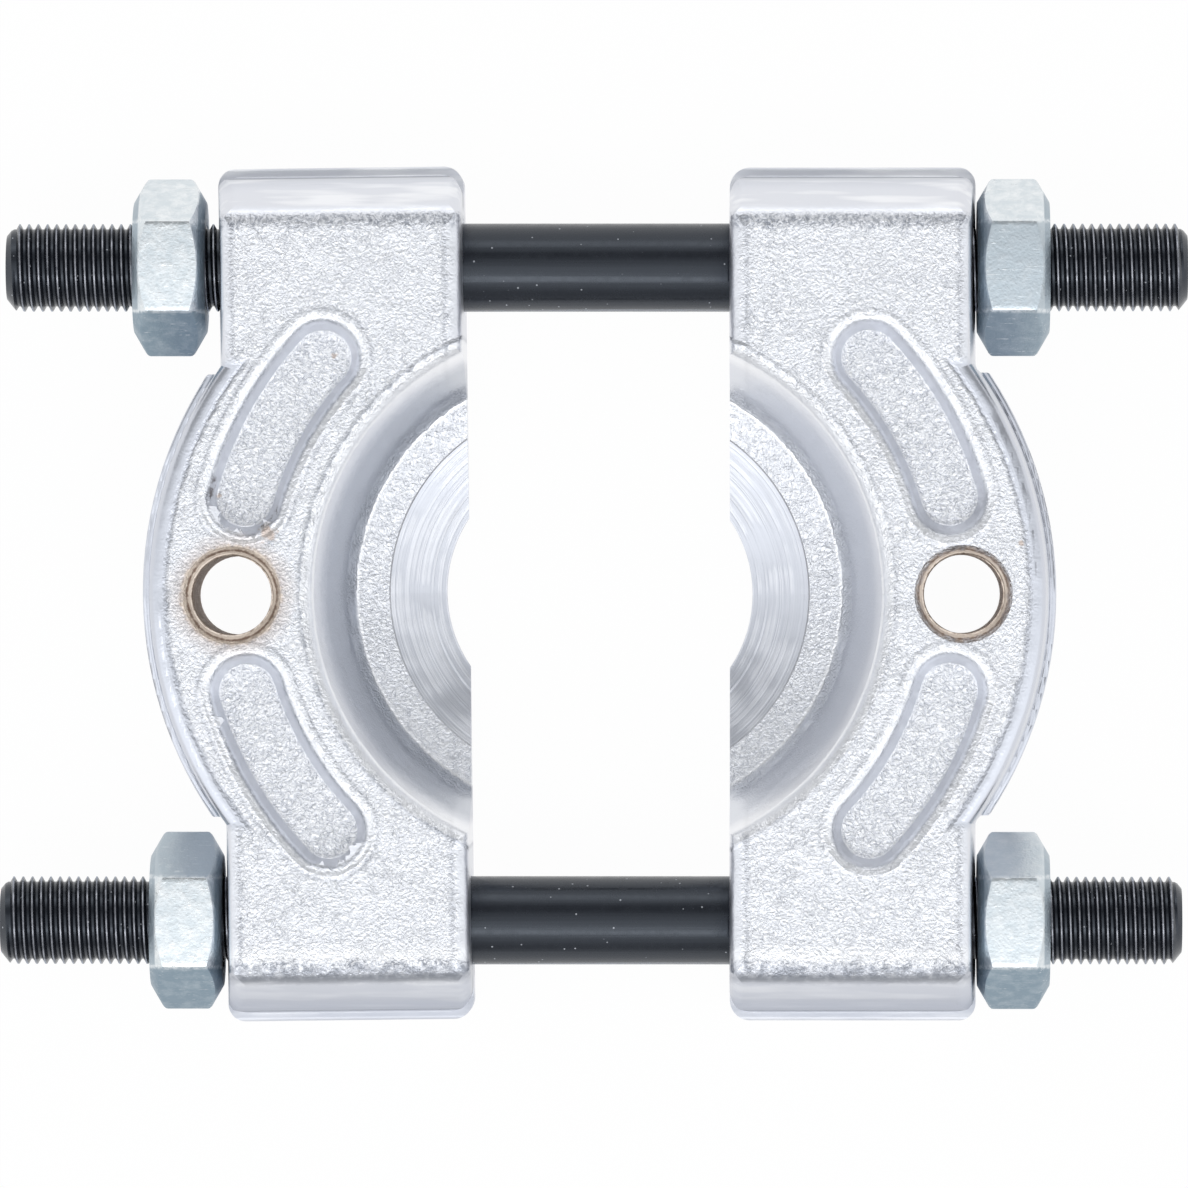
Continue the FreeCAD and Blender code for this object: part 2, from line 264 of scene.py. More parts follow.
def jaw_places(tree, place, name, side, skew):
    """Where a point lies on its jaw, as a set of named sockets, and the noises that vary its finish."""
    jaw = SimpleNamespace(place=place, finish=JAW_FINISH[name])
    jaw.hole = HOLES["leg_hole_" + name.split("_")[1]]
    outward = Vector((side * math.cos(skew), side * math.sin(skew), 0))
    sideways = Vector((-outward.y, outward.x, 0))
    axis = Vector((jaw.hole.x, jaw.hole.y, 0)) - outward * HOLE_CIRCLE_RADIUS
    parts = add(tree, "SeparateXYZ", {0: place})
    jaw.height = parts.outputs["Z"]
    jaw.picture_y = parts.outputs["Y"]
    jaw.flat = add(tree, "VectorMath", {0: place, 1: (1, 1, 0)}, operation="MULTIPLY")
    along = add(tree, "VectorMath", {0: jaw.flat, 1: sideways}, operation="DOT_PRODUCT").outputs["Value"]
    along = add(tree, "Math", {0: along, 1: axis.dot(sideways)}, operation="SUBTRACT")
    jaw.along = add(tree, "Math", {0: along}, operation="ABSOLUTE")
    out = add(tree, "VectorMath", {0: jaw.flat, 1: outward}, operation="DOT_PRODUCT").outputs["Value"]
    jaw.out = add(tree, "Math", {0: out, 1: axis.dot(outward)}, operation="SUBTRACT")
    jaw.spot = add(tree, "CombineXYZ", {"X": jaw.out, "Y": jaw.along})
    jaw.radius = distance(tree, jaw.flat, axis)
    jaw.hole_radius = distance(tree, jaw.flat, (jaw.hole.x, jaw.hole.y, 0))

    # Three noises: one for ragged edges, a wide one for patches, and a long one for the painted highlight
    # streaks on the ends
    jaw.ragged = add(tree, "TexNoise", {"Vector": place, "Scale": 1 / RAGGED_SIZE, "Detail": 3,
                                        "Roughness": 0.6})
    jaw.wobble = add(tree, "Math", {0: jaw.ragged, 1: 0.5}, operation="SUBTRACT")
    jaw.patches = add(tree, "TexNoise", {"Vector": place, "Scale": 1 / PATCH_SIZE, "Detail": 2})
    streak = add(tree, "Mapping", {"Vector": place, "Scale": (1 / STREAK_LENGTH, 1 / STREAK_WIDTH,
                                                              1 / STREAK_WIDTH)})
    jaw.streak = add(tree, "TexNoise", {"Vector": streak, "Scale": 1, "Detail": 2})

    across = add(tree, "Math", {0: jaw.out, 1: FACE_TO_AXIS}, operation="SUBTRACT")
    jaw.rough_across = roughened(tree, jaw, across, 1.4)
    jaw.rough_along = roughened(tree, jaw, jaw.along, 1.6)
    jaw.rough_radius = roughened(tree, jaw, jaw.radius, 0.9)
    jaw.foot_radius = roughened(tree, jaw, jaw.radius, 0.4)
    jaw.rough_pocket = roughened(tree, jaw, pocket_distance(tree, jaw), 0.5)
    jaw.from_arc = roughened(tree, jaw, distance(tree, jaw.spot, ARC_CENTRE), 0.8)
    jaw.from_hole = roughened(tree, jaw, jaw.hole_radius, 1.5)
    return jaw


# %% [markdown]
# ## Where the grain is
# The grain lies where the blasting reached and nothing has rubbed since. On the level top that is all but
# the strips beside the clamping face and the outer edge, the ends, the rims of the pockets and a worn line
# along the arc. The pocket floors, the ring and the foot of the wall keep theirs.

# %% Grain masks
POCKET_DEPTH = 2.8 * MM
POCKET_WALL_TOP = 5.1 * MM
POCKET_RIM = 6.1 * MM
POCKET_REACH = 38 * MM
POCKET_INSIDE = 40 * MM
RING_EDGE_RADIUS = 30.1 * MM
FOOT_END_RADIUS = 31.4 * MM
ARC_BAND_RADIUS = 50.2 * MM
ARC_END = 31 * MM
LEVEL_END = 51.2 * MM


def mark_grain(tree, jaw):
    """Adds the masks of the grain to a jaw's places: the worn rims and arc, and all that is grainy."""
    level = band(tree, jaw.height, JAW_TOP - 0.6 * MM, JAW_TOP - 0.05 * MM, 0.25)
    inner_strip = band(tree, jaw.rough_across, 1.5 * MM, 2.6 * MM, 0.3)
    outer_strip = band(tree, jaw.rough_across, LUG_WIDTH - 2.6 * MM, LUG_WIDTH - 1.9 * MM, 1, 0.3)
    jaw.beyond_arc = band(tree, jaw.along, ARC_END, ARC_END + MM)
    outer_strip = add(tree, "Mix", {0: jaw.beyond_arc, 2: 1.0, 3: outer_strip})
    ends = band(tree, jaw.rough_along, LEVEL_END, LEVEL_END + 0.9 * MM, 1, 0.12)

    jaw.on_arc = add(tree, "Math", {0: 1.0, 1: jaw.beyond_arc}, operation="SUBTRACT")
    jaw.arc_band = band(tree, jaw.from_arc, ARC_BAND_RADIUS - 0.3 * MM, ARC_BAND_RADIUS + 0.3 * MM)
    jaw.arc_band = overlap(tree, jaw.arc_band, jaw.on_arc)
    jaw.rim = overlap(tree, band(tree, jaw.rough_pocket, POCKET_WALL_TOP, POCKET_WALL_TOP + 0.4 * MM),
                      band(tree, jaw.rough_pocket, POCKET_RIM - 0.3 * MM, POCKET_RIM + 0.3 * MM, 1, 0),
                      band(tree, jaw.patches, 0.38, 0.6, 0.25, 0.8))
    worn = overlap(tree, band(tree, jaw.wobble, -0.12, 0.12, 0.45, 1),
                   band(tree, jaw.patches, 0.4, 0.58, 0.4, 1))
    jaw.top = overlap(tree, level, inner_strip, outer_strip, ends,
                      add(tree, "MapRange", {0: jaw.arc_band, 3: 1, 4: 0.15}),
                      add(tree, "MapRange", {0: jaw.rim, 3: 1, 4: 0.3}),
                      add(tree, "Mix", {0: 0.5, 2: 1.0, 3: worn}),
                      band(tree, jaw.rough_pocket, POCKET_WALL_TOP - 0.4 * MM, POCKET_WALL_TOP, 0.15, 1))

    floor_gap = add(tree, "Math", {0: jaw.height, 1: JAW_TOP - POCKET_DEPTH}, operation="SUBTRACT")
    floor_gap = add(tree, "Math", {0: floor_gap}, operation="ABSOLUTE")
    floors = overlap(tree, band(tree, floor_gap, 0.15 * MM, 0.5 * MM, 1, 0),
                     band(tree, jaw.along, POCKET_REACH, POCKET_REACH + MM, 1, 0),
                     band(tree, jaw.radius, POCKET_INSIDE, POCKET_INSIDE + MM))
    ring = band(tree, jaw.foot_radius, RING_EDGE_RADIUS - 0.3 * MM, RING_EDGE_RADIUS + 0.2 * MM, 0.75, 0)
    foot = overlap(tree, band(tree, jaw.rough_radius, RING_EDGE_RADIUS, RING_EDGE_RADIUS + 0.3 * MM),
                   band(tree, jaw.rough_radius, FOOT_END_RADIUS, FOOT_END_RADIUS + 1.8 * MM, 1, 0),
                   band(tree, jaw.patches, 0.35, 0.6, 0.2, 1))
    jaw.grainy = either(tree, jaw.top, floors, foot, ring)


# %% [markdown]
# ## Relief of a jaw
# One height, in millimetres, feeds the bump. The skin is small lumps with thin creases between them over
# long shallow waves, raised along the rims and sunk along the line of the arc. The crease cells are flat
# ones, because they show on level faces, and cells in space would take a third longer to render. The bevel
# inside the ring was turned, so it has the fine rings of a lathe tool instead, and the tapped hole has its
# thread: the height climbs by one pitch for each turn about the hole.

# %% Relief of a jaw
GRAIN = 0.42 * MM
WARP_SIZE = 1.3 * MM
WARP_REACH = 0.9 * MM
WAVE_SIZE = 7 * MM
LATHE_FEED = 0.55 * MM
WANDER_SIZE = 5 * MM
PITCH = 1.25 * MM
TAPPED_RADIUS = 5.325 * MM
BEVEL_RADIUS = 25.7 * MM
FLAT_EDGE_RADIUS = 37.3 * MM


def thread_relief(tree, jaw):
    """The height of the tapped hole's thread, from 0 at its root to 0.5 at its crest."""
    offset = add(tree, "VectorMath", {0: jaw.flat, 1: (jaw.hole.x, jaw.hole.y, 0)}, operation="SUBTRACT")
    offset = add(tree, "SeparateXYZ", {0: offset})
    turn = add(tree, "Math", {0: offset.outputs["Y"], 1: offset.outputs["X"]}, operation="ARCTAN2")
    turn = add(tree, "Math", {0: turn, 1: TURN}, operation="DIVIDE")
    pitches = add(tree, "Math", {0: jaw.height, 1: 1 / PITCH, 2: turn}, operation="MULTIPLY_ADD")
    return add(tree, "Math", {0: pitches, 1: 0.5}, operation="PINGPONG")


def jaw_relief(tree, jaw):
    """The height of a jaw's skin, bevel and thread. Its lumps, creases and rings join the named sockets."""
    warp = add(tree, "TexNoise", {"Vector": jaw.place, "Scale": 1 / WARP_SIZE, "Detail": 1})
    warped = add(tree, "VectorMath", {0: warp.outputs["Color"], 1: (WARP_REACH,) * 3, 2: jaw.place},
                 operation="MULTIPLY_ADD")
    jaw.lumps = add(tree, "TexNoise", {"Vector": warped, "Scale": 1 / GRAIN, "Detail": 3, "Roughness": 0.55})
    cells = add(tree, "TexVoronoi", {"Vector": warped, "Scale": 1 / (1.5 * GRAIN), "Randomness": 1},
                feature="DISTANCE_TO_EDGE", voronoi_dimensions="2D")
    jaw.crease = overlap(tree, band(tree, cells, 0, 0.16, 1, 0), band(tree, jaw.ragged, 0.4, 0.66))
    waves = add(tree, "TexNoise", {"Vector": jaw.place, "Scale": 1 / WAVE_SIZE, "Detail": 2})
    skin = add(tree, "Math", {0: jaw.lumps, 1: 0.33}, operation="MULTIPLY")
    skin = add(tree, "Math", {0: jaw.crease, 1: -0.05, 2: skin}, operation="MULTIPLY_ADD")
    skin = overlap(tree, skin, jaw.grainy)
    skin = add(tree, "Math", {0: waves, 1: 0.3, 2: skin}, operation="MULTIPLY_ADD")
    lip = soft_line(tree, jaw.rough_pocket, POCKET_RIM, -0.5, 0, 0, 0.7)
    edge = soft_line(tree, jaw.rough_radius, FLAT_EDGE_RADIUS, -1.0, -0.2, 0, 0.5)
    raised = either(tree, lip, edge)
    skin = add(tree, "Math", {0: raised, 1: 0.12, 2: skin}, operation="MULTIPLY_ADD")
    jaw.groove = soft_line(tree, jaw.from_arc, ARC_BAND_RADIUS, -0.5, 0, 0, 0.4)
    jaw.groove = overlap(tree, jaw.groove, jaw.on_arc)
    skin = add(tree, "Math", {0: jaw.groove, 1: -0.16, 2: skin}, operation="MULTIPLY_ADD")

    jaw.turned = band(tree, jaw.radius, BEVEL_RADIUS - 0.1 * MM, BEVEL_RADIUS + 0.1 * MM, 1, 0)
    feed = add(tree, "Math", {0: jaw.radius, 1: 1 / LATHE_FEED}, operation="MULTIPLY")
    rings = add(tree, "TexNoise", {"W": feed, "Scale": 1, "Detail": 4, "Roughness": 0.7},
                noise_dimensions="1D")
    wander = add(tree, "TexNoise", {"Vector": jaw.place, "Scale": 1 / WANDER_SIZE, "Detail": 1})
    jaw.rings = overlap(tree, rings, wander)
    cut = add(tree, "Math", {0: jaw.rings, 1: 0.24}, operation="MULTIPLY")
    relief = add(tree, "Mix", {0: jaw.turned, 2: skin, 3: cut})
    in_hole = band(tree, jaw.hole_radius, TAPPED_RADIUS + 0.1 * MM, TAPPED_RADIUS + 0.3 * MM, 1, 0)
    spiral = add(tree, "Math", {0: thread_relief(tree, jaw), 1: 1.2}, operation="MULTIPLY")
    return add(tree, "Mix", {0: in_hole, 2: relief, 3: spiral})


# %% [markdown]
# ## Colour of a jaw
# The plating is pale, with grey painted shade in its creases and a dull lavender where it is smooth. Colours
# are
# laid over each other as a painter does: first the ground, then painted highlights on the rims and painted
# shade on the wall, painted highlights and shade on the slopes of the ends, the thin grey lines of painted
# shade where one face meets another, and last the painted shadows under the torn flash.

# %% Colour of a jaw
SKIN_LIGHT = "f4f5f8"
# Grey of the painted shade in the creases and hollows of the grain and in the lathe's grooves
GROOVE_SHADE_GREY = "c0c4ce"
SMOOTH_SKIN = "e2e4ea"
# White of the painted highlights on the rims and the ends
HIGHLIGHT_WHITE = "f6f7fa"
# Grey of the painted shade on the lower end
END_SHADE_GREY = "b3b8c4"
BAND_GREY = "ccd0da"
# Grey of the painted shade lines where faces meet
SHADE_LINE_GREY = "8b909b"
SHADOW_BROWN = "5f5450"
TURNED_STEEL = "e6e8ee"

WALL_TOP_RADIUS = 35.8 * MM
WALL_SHADE_RADIUS = 33.7 * MM
WALL_FOOT_RADIUS = 30.6 * MM
PLATE_TOP = 8 * MM
FOOT_LINE_LOW = 15 * MM
FOOT_LINE_HIGH = 20.5 * MM
SHADE_LOW = 19 * MM
SHADE_HIGH = 25.4 * MM
LOWER_END = -46 * MM
CROWN = 47 * MM


def skin_ground(tree, jaw):
    """The plating's colour, painted shade in its grain, painted highlights on rims, painted shade on the
    recess wall, and the arc's band.
    """
    # Painted shade: grey on the low spots of the lumps and in the creases of the grain
    speck = band(tree, jaw.lumps, 0.40, 0.54, 0.6, 0)
    grain_shade = overlap(tree, either(tree, speck, jaw.crease), jaw.grainy)
    colour = blend(tree, jaw.grainy, SMOOTH_SKIN, SKIN_LIGHT)
    colour = blend(tree, grain_shade, colour, GROOVE_SHADE_GREY)
    # Painted highlights: white on the rounded rim of the recess, on the pocket rims and along the ring's
    # edge
    white = overlap(tree, band(tree, jaw.radius, WALL_TOP_RADIUS - 1.4 * MM, WALL_TOP_RADIUS - 0.6 * MM),
                    band(tree, jaw.rough_radius, FLAT_EDGE_RADIUS - 0.6 * MM, FLAT_EDGE_RADIUS, 1, 0))
    ring_edge = soft_line(tree, jaw.rough_radius, RING_EDGE_RADIUS, -0.4, 0, 0, 0.25)
    colour = blend(tree, either(tree, white, jaw.rim, ring_edge), colour, HIGHLIGHT_WHITE)
    # Painted shade on the recess wall, in a different grey on each jaw
    wall = overlap(tree, band(tree, jaw.foot_radius, RING_EDGE_RADIUS, RING_EDGE_RADIUS + 0.5 * MM),
                   band(tree, jaw.rough_radius, WALL_SHADE_RADIUS, WALL_SHADE_RADIUS + MM, 1, 0))
    colour = blend(tree, wall, colour, jaw.finish["wall"])
    colour = blend(tree, overlap(tree, jaw.arc_band, 0.7), colour, BAND_GREY)
    # A grey line of painted shade at the foot of the wall
    wall_foot = overlap(tree, wall, jaw.finish["lines"],
                        band(tree, jaw.radius, WALL_FOOT_RADIUS, WALL_FOOT_RADIUS + 1.6 * MM, 0.6, 0))
    return blend(tree, wall_foot, colour, SHADE_LINE_GREY)


def end_slopes(tree, jaw, colour):
    """Painted highlight streaks and a painted shade line on both ends, and a painted highlight and shade on
    the lower one.
    """
    jaw.on_end = band(tree, jaw.along, LEVEL_END + 0.2 * MM, LEVEL_END + 1.2 * MM)
    jaw.lower = band(tree, jaw.picture_y, LOWER_END, LOWER_END + MM, 1, 0)
    # Painted highlight streaks along both ends
    streaks = overlap(tree, jaw.on_end, band(tree, jaw.streak, 0.5, 0.68, 0, 0.9))
    colour = blend(tree, streaks, colour, HIGHLIGHT_WHITE)
    # A painted highlight crown on the lower end
    crown = overlap(tree, jaw.lower, soft_line(tree, jaw.rough_along, CROWN, 0, 1.5, 2.2, 3), 0.8)
    colour = blend(tree, crown, colour, HIGHLIGHT_WHITE)
    # Painted shade on the lower end's slope, darker low on the slope
    shade = overlap(tree, jaw.lower, jaw.on_end, band(tree, jaw.height, SHADE_LOW, SHADE_HIGH, 0.85, 0.25),
                    band(tree, jaw.height, PLATE_TOP + 0.1 * MM, PLATE_TOP + MM, 0.3, 1))
    colour = blend(tree, shade, colour, END_SHADE_GREY)
    # A grey line of painted shade at the foot of each end's slope
    foot_line = overlap(tree, jaw.on_end, band(tree, jaw.height, PLATE_TOP + 0.1 * MM, PLATE_TOP + MM),
                        band(tree, jaw.height, FOOT_LINE_LOW, FOOT_LINE_HIGH, 0.7, 0))
    return blend(tree, foot_line, colour, SHADE_LINE_GREY)


def painted_shade_lines(tree, jaw, colour):
    """Broken grey lines of painted shade along the sides, the shoulders, the rims and the arc."""
    # Thin grey lines of painted shade where faces meet: beside the strips, at the shoulders, the rims, the
    # pocket walls and in the arc's groove
    inner_line = soft_line(tree, jaw.rough_across, 2.3 * MM, -0.5, -0.1, 0, 0.6)
    outer_line = overlap(tree, soft_line(tree, jaw.rough_across, LUG_WIDTH, -2.9, -2.4, -2.3, -1.9),
                         jaw.beyond_arc)
    side_lines = overlap(tree, either(tree, inner_line, outer_line), jaw.top, 0.5)
    colour = blend(tree, side_lines, colour, SHADE_LINE_GREY)
    shoulder = overlap(tree, soft_line(tree, jaw.rough_along, LEVEL_END, -2.2, -1.4, -0.3, 0.4),
                       band(tree, jaw.lumps, 0.42, 0.56, 1, 0.2))
    lower_shoulder = overlap(tree, soft_line(tree, jaw.rough_along, LEVEL_END, -1.3, -0.7, 0.5, 1.5),
                             jaw.lower)
    rim_line = soft_line(tree, jaw.rough_radius, FLAT_EDGE_RADIUS, -0.2, 0, 0, 0.6)
    wall_line = soft_line(tree, jaw.rough_pocket, POCKET_WALL_TOP, -0.35, 0, 0, 0.3)
    rim_shade = overlap(tree, soft_line(tree, jaw.rough_pocket, POCKET_RIM, 0.3, 0.6, 0.6, 1), 0.7)
    lines = overlap(tree, either(tree, rim_line, wall_line, rim_shade), jaw.finish["lines"])
    lines = either(tree, shoulder, lower_shoulder, lines, overlap(tree, jaw.groove, 0.8))
    lines = overlap(tree, lines, band(tree, jaw.ragged, 0.3, 0.6, 0.25, 0.75))
    return blend(tree, lines, colour, SHADE_LINE_GREY)


def flash_shadows(tree, jaw, colour):
    """Short brown shadows in the pockets, under the torn flash."""
    hollow = overlap(tree, soft_line(tree, jaw.rough_pocket, POCKET_WALL_TOP, -0.9, -0.6, -0.4, 0),
                     band(tree, jaw.ragged, 0.46, 0.56, 0.1, 0.8))
    for x, y, size in jaw.finish["shadows"]:
        near = band(tree, distance(tree, jaw.flat, (x * MM, y * MM, 0)), 0.7 * size * MM, size * MM, 1, 0)
        colour = blend(tree, overlap(tree, near, hollow), colour, SHADOW_BROWN)
    return colour


# %% [markdown]
# ## Rust in the tapped holes
# The countersinks have no plating left, so their steel has rusted: golden brown in the turns that the tool
# left, with a brown halo that oil has carried over the skin, and a few small stains further off. Rust isn't
# a metal to the eye, so there the shader is less metallic and rougher.

# %% Rust
RUST_GOLD = "efe1d2"
RUST_BROWN = "8a705c"
OIL_BROWN = "b59a84"
STAIN_SIZE = 0.8 * MM
TOOL_TURN = 0.42 * MM


def rust(tree, jaw, colour):
    """The colour with halo, stains and rust laid over it, and the mask of the rust."""
    stain = add(tree, "TexNoise", {"Vector": jaw.place, "Scale": 1 / STAIN_SIZE, "Detail": 4,
                                   "Roughness": 0.65})
    turns = add(tree, "Math", {0: jaw.hole_radius, 1: 1 / TOOL_TURN}, operation="MULTIPLY")
    turns = add(tree, "TexNoise", {"W": turns, "Scale": 1, "Detail": 2}, noise_dimensions="1D")
    stain = add(tree, "Mix", {0: 0.5, 2: stain, 3: turns})
    reach = jaw.finish["rust"]
    rusted = band(tree, jaw.from_hole, reach - 0.2 * MM, reach + 0.3 * MM, 0.85, 0)
    haze = band(tree, jaw.from_hole, reach, reach + jaw.finish["halo"], 0.4, 0)
    colour = blend(tree, haze, colour, OIL_BROWN)
    for x, y, size in jaw.finish["stains"]:
        near = roughened(tree, jaw, distance(tree, jaw.flat, (x * MM, y * MM, 0)), 3 * size)
        colour = blend(tree, band(tree, near, 0.5 * size * MM, 1.2 * size * MM, 0.6, 0), colour, OIL_BROWN)
    brown = blend(tree, band(tree, stain, 0.38, 0.52), RUST_BROWN, RUST_GOLD)
    return blend(tree, rusted, colour, brown), rusted


# %% [markdown]
# ## The plating put together
# The order matters only for the colours, where each layer covers the one before. Gloss follows the grain,
# and the lower skirt of each end is a little duller, because the light there should be broad and soft.

# %% Jaw plating
END_SKIRT = 54 * MM
SKIRT_TOP = 22 * MM


def jaw_plating(name, side, skew):
    """Bright plated forging. To the eye, white silver with painted shade in fine creases, and lavender where
    worn.
    """
    material, tree, shader, place = new_material(name)
    jaw = jaw_places(tree, place, name, side, skew)
    mark_grain(tree, jaw)
    bump = add(tree, "Bump", {"Strength": 1, "Distance": MM, "Height": jaw_relief(tree, jaw)})
    skin = flash_shadows(tree, jaw, painted_shade_lines(tree, jaw, end_slopes(tree, jaw, skin_ground(tree, jaw))))
    # The real tool marks on the bevel, painted grey in their low rings as shade
    tool_marks_shade = band(tree, jaw.rings, 0.22, 0.3, 0.5, 0)
    colour = blend(tree, jaw.turned, skin, blend(tree, tool_marks_shade, TURNED_STEEL, GROOVE_SHADE_GREY))
    colour, rusted = rust(tree, jaw, colour)
    skirt = overlap(tree, band(tree, jaw.along, END_SKIRT, END_SKIRT + 1.4 * MM),
                    band(tree, jaw.height, SKIRT_TOP, SKIRT_TOP + MM, 0.3, 0))
    gloss = combine(tree, "ADD", band(tree, jaw.grainy, 0, 1, 0.3, 0.36), skirt)
    gloss = add(tree, "Math", {0: rusted, 1: 0.22, 2: gloss}, operation="MULTIPLY_ADD")
    metal = band(tree, rusted, 0, 1, 1, 0.7)
    tree.links.new(colour, shader.inputs["Base Color"])
    tree.links.new(gloss.outputs[0], shader.inputs["Roughness"])
    tree.links.new(metal.outputs[0], shader.inputs["Metallic"])
    tree.links.new(bump.outputs[0], shader.inputs["Normal"])
    return material


finish_node("jaw_left", jaw_plating("jaw_left_plating", -1, LEFT_JAW_SKEW))
finish_node("jaw_right", jaw_plating("jaw_right_plating", 1, 0))
print("Jaws plated, recess axes", HOLE_CIRCLE_RADIUS / MM, "mm in from the tapped holes")

# %% [markdown]
# ## Torn flash on the left jaw's pockets
# Where the two forging dies met the hot metal, a thin sheet was squeezed out, and on the left jaw it
# was trimmed badly: torn ledges hang a little way over the rims of its pockets. A ledge is a flat strip
# spun about the centre of the rim, whose inner edge is then pushed in and out by noise, so it looks torn
# and throws a thin ragged shadow on the wall below.

# %% Torn flash
LEDGE_OUTSIDE = 6.5 * MM
LEDGE_INSIDE = 4.0 * MM
LEDGE_TOP = JAW_TOP - 0.03 * MM
LEDGE_THICKNESS = 0.22 * MM
LEDGE_STEP = 0.22 * MM
LEDGE_LEAST = 0.1 * MM
TEAR_SIZE = 1.6 * MM
FRAY_SIZE = 0.5 * MM

# Each ledge as (name, turn of its centre about the recess axis, start and sweep in degrees), where a
# centre of None means the recess axis itself
LEDGES = [
    ("flash_upper_pocket", 163.7, 140, 215),
    ("flash_lower_pocket_side", None, 193, 15),
    ("flash_lower_pocket_end", 223.3, 225, 140),
]


def place_piece(mesh, material, body, *replaced):
    """Puts a mesh in the scene at the origin, to ride on a body and stand for solids."""
    mesh.materials.append(material)
    piece = bpy.data.objects.new(mesh.name, mesh)
    bpy.context.scene.collection.objects.link(piece)
    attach(piece, body)
    if replaced:
        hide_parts(*replaced)
    return piece


def ledge_mesh(name, centre, ring, start, sweep):
    """A torn ledge spun about a centre, at the rim's distance beyond a ring of this radius."""
    bm = bmesh.new()
    low = LEDGE_TOP - LEDGE_THICKNESS
    corners = [(LEDGE_OUTSIDE, low), (LEDGE_OUTSIDE, LEDGE_TOP), (LEDGE_INSIDE, LEDGE_TOP),
               (LEDGE_INSIDE, low)]
    points = [bm.verts.new((ring + reach, 0, z)) for reach, z in corners]
    edges = [bm.edges.new(pair) for pair in zip(points, points[1:] + points[:1])]
    steps = round(sweep * (ring + LEDGE_OUTSIDE) / LEDGE_STEP)
    bmesh.ops.spin(bm, geom=points + edges, axis=(0, 0, 1), cent=(0, 0, 0), angle=sweep, steps=steps,
                   use_merge=False)
    bmesh.ops.holes_fill(bm, edges=[e for e in bm.edges if e.is_boundary], sides=4)
    for vert in bm.verts:
        spread = Vector((vert.co.x, vert.co.y, 0))
        share = (math.atan2(vert.co.y, vert.co.x) % TURN) / sweep
        if spread.length < ring + LEDGE_OUTSIDE - LEDGE_LEAST:
            taper = max(0, min(1, 5 * share, 5 * (1 - share)))
            coarse = noise.noise(vert.co / TEAR_SIZE + Vector((start, 0, 0)))
            fine = noise.noise(vert.co / FRAY_SIZE + Vector((0, start, 0)))
            width = (LEDGE_OUTSIDE - LEDGE_INSIDE) * taper * (0.72 + 0.5 * coarse + 0.3 * fine)
            spread = spread.normalized() * (ring + LEDGE_OUTSIDE - max(LEDGE_LEAST, width))
        vert.co = Vector((spread.x, spread.y, vert.co.z))
    bmesh.ops.recalc_face_normals(bm, faces=bm.faces)
    bmesh.ops.rotate(bm, verts=bm.verts, cent=(0, 0, 0), matrix=Matrix.Rotation(start, 3, "Z"))
    bmesh.ops.translate(bm, verts=bm.verts, vec=centre)
    mesh = bpy.data.meshes.new(name)
    bm.to_mesh(mesh)
    bm.free()
    return mesh


left_hole = HOLES["leg_hole_left"]
left_out = Vector((-math.cos(LEFT_JAW_SKEW), -math.sin(LEFT_JAW_SKEW), 0))
left_axis = Vector((left_hole.x, left_hole.y, 0)) - left_out * HOLE_CIRCLE_RADIUS
left_plating = bpy.data.materials["jaw_left_plating"]
for name, turn, start, sweep in LEDGES:
    centre, ring = left_axis, HOLE_CIRCLE_RADIUS
    if turn is not None:
        angle = math.radians(turn) + LEFT_JAW_SKEW
        centre = left_axis + Vector((math.cos(angle), math.sin(angle), 0)) * HOLE_CIRCLE_RADIUS
        ring = 0
    torn = ledge_mesh(name, centre, ring, math.radians(start), math.radians(sweep))
    ledge = place_piece(torn, left_plating, "jaw_left")
    print(f"{name}: {len(torn.polygons)} faces")

# %% [markdown]
# ## Threaded studs
# A stud is a steel bar with the same right-hand M12 thread, 1.25 mm to a turn, rolled on both ends, and
# then blackened in hot salts. The drawing has only the cylinder over the crests. Here the real groove is
# cut: the outline of one thread is spun about the stud's axis and moves along by one pitch a turn, so each
# turn starts where the last one ended. The screw is then trimmed square at the tip, pinched to a
# cone for the chamfer, and fades into the smooth shank at its other end.

# %% Thread sizes
CREST_RADIUS = 5.94 * MM
ROOT_RADIUS = 5.24 * MM
CREST_FLAT = 0.14 * PITCH
ROOT_FLAT = 0.24 * PITCH
SHANK_RADIUS = (STUD_HIGH.z - STUD_LOW.z) / 2
THREAD_LENGTH = 50 * MM
RUNOUT_LENGTH = 2 * PITCH
TIP_RADIUS = 4.35 * MM
TIP_LENGTH = 1.3 * MM
STEPS_A_TURN = 48


# %% Thread and stud
def spun_thread(start, length):
    """A bmesh of one thread about the X axis, longer than needed by a turn at each end."""
    bm = bmesh.new()
    flank = (PITCH - CREST_FLAT - ROOT_FLAT) / 2
    stops = [(0, ROOT_RADIUS), (ROOT_FLAT, ROOT_RADIUS), (ROOT_FLAT + flank, CREST_RADIUS),
             (ROOT_FLAT + flank + CREST_FLAT, CREST_RADIUS), (PITCH, ROOT_RADIUS)]
    points = [bm.verts.new((start - PITCH + x, 0, r)) for x, r in stops]
    edges = [bm.edges.new(pair) for pair in zip(points, points[1:])]
    turns = round(length / PITCH) + 2
    steps = turns * STEPS_A_TURN
    bmesh.ops.spin(bm, geom=points + edges, axis=(1, 0, 0), cent=(0, 0, 0), angle=TURN * turns,
                   steps=steps, dvec=(PITCH / STEPS_A_TURN, 0, 0), use_merge=False)
    bmesh.ops.remove_doubles(bm, verts=bm.verts, dist=0.01 * MM)
    return bm


def trim(bm, x, direction):
    """Cuts the mesh square to the X axis, and removes what lies beyond x in that direction."""
    bmesh.ops.bisect_plane(bm, geom=bm.verts[:] + bm.edges[:] + bm.faces[:], dist=1e-7, plane_co=(x, 0, 0),
                           plane_no=(direction, 0, 0), clear_outer=True)


